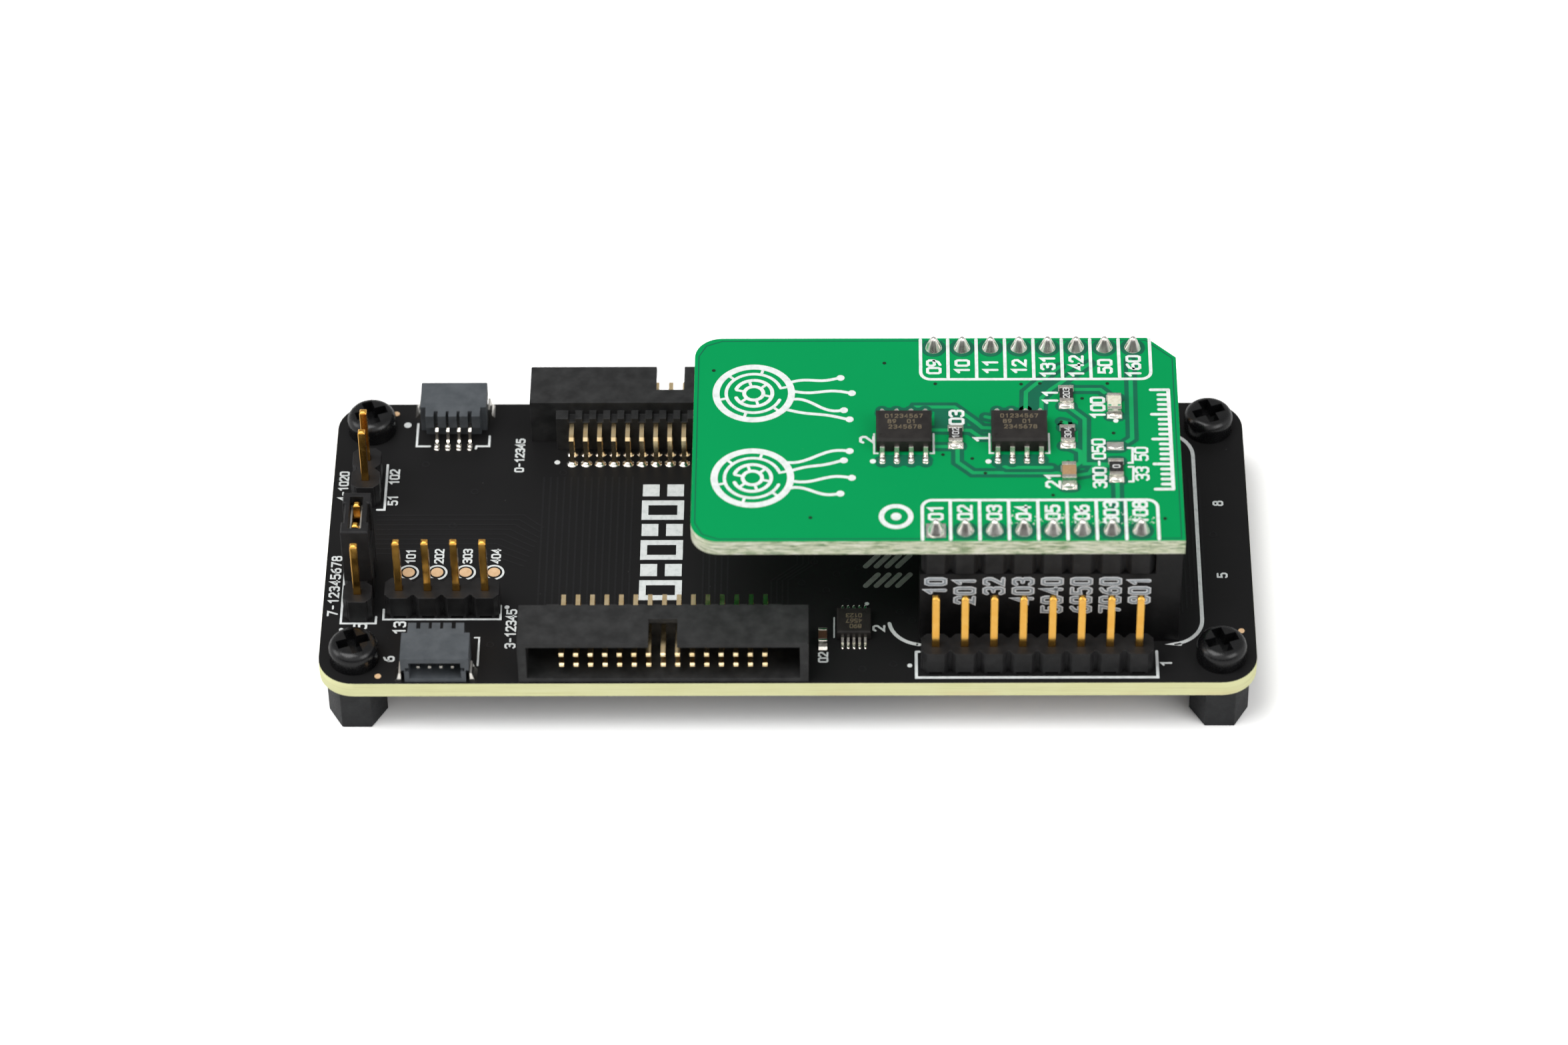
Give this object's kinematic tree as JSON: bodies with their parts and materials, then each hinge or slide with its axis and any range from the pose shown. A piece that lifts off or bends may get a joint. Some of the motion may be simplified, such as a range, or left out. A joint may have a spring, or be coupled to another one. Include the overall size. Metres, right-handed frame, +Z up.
{
  "type": "microcontroller dev board",
  "caption": "Black carrier board on nylon standoffs with shrouded ribbon headers, pin headers, bus sockets, a jumper cap and a green add-on memory board plugged into two socket strips.",
  "frame": {"origin": "centre of the four mounting holes, in the plane of the standoffs' feet", "axes": "+X along the board's length towards the add-on sockets, +Y towards the output header, +Z up out of the component side"},
  "size_m": [0.0826, 0.035, 0.0208],
  "materials": {
    "solder_mask_black": "satin",
    "solder_mask_green": "satin",
    "nylon_black": "satin",
    "header_black": "satin",
    "connector_slate": "matte",
    "gold_plate": "polished",
    "tin_plate": "polished",
    "solder": "polished",
    "bare_copper": "satin",
    "chip_epoxy": "matte",
    "resistor_film": "satin",
    "capacitor_ceramic": "satin",
    "led_lens": "satin"
  },
  "bodies": {
    "carrier_board": {"base_pcb": "solder_mask_black", "standoffs": "nylon_black", "screws": "nylon_black", "input_header_shroud": "header_black", "input_header_pins": "gold_plate", "output_header_shroud": "header_black", "output_header_pins": "gold_plate", "probe_header_front_base": "header_black", "probe_header_front_pins": "gold_plate", "probe_header_rear_base": "header_black", "probe_header_rear_pins": "gold_plate", "breakout_header_base": "header_black", "breakout_header_pins": "gold_plate", "power_selector_base": "header_black", "power_selector_pins": "gold_plate", "power_ext_header_base": "header_black", "power_ext_header_pins": "gold_plate", "socket_front_housing": "header_black", "socket_front_contacts": "tin_plate", "socket_rear_housing": "header_black", "socket_rear_contacts": "tin_plate", "front_bus_socket_housing": "connector_slate", "front_bus_socket_contacts": "tin_plate", "front_bus_socket_tabs": "tin_plate", "rear_bus_socket_housing": "connector_slate", "rear_bus_socket_contacts": "tin_plate", "rear_bus_socket_tabs": "tin_plate", "level_shifter_body": "chip_epoxy", "level_shifter_leads": "tin_plate", "decoupling_cap_body": "capacitor_ceramic", "decoupling_cap_terminals": "tin_plate", "test_pads": "bare_copper", "fiducials": "bare_copper", "carrier_solder_joints": "solder"},
    "addon_module": {"addon_pcb": "solder_mask_green", "addon_header_front_base": "header_black", "addon_header_front_pins": "gold_plate", "addon_header_rear_base": "header_black", "addon_header_rear_pins": "gold_plate", "addon_solder_joints": "solder", "memory_chip_bodies": "chip_epoxy", "memory_chip_leads": "tin_plate", "resistor_bodies": "resistor_film", "resistor_terminals": "tin_plate", "addon_cap_body": "capacitor_ceramic", "addon_cap_terminals": "tin_plate", "power_led_body": "led_lens", "power_led_terminals": "tin_plate", "solder_jumper_pad": "solder"},
    "jumper_cap": {"jumper_cap_housing": "nylon_black", "jumper_cap_clip": "tin_plate"}
  },
  "joints": [
    {"name": "addon_lift", "type": "slide", "parent": "carrier_board", "child": "addon_module", "axis": [0, 0, 1], "range_m": [0, 0.015]},
    {"name": "jumper_lift", "type": "slide", "parent": "carrier_board", "child": "jumper_cap", "axis": [0, 0, 1], "range_m": [0, 0.012]}
  ]
}
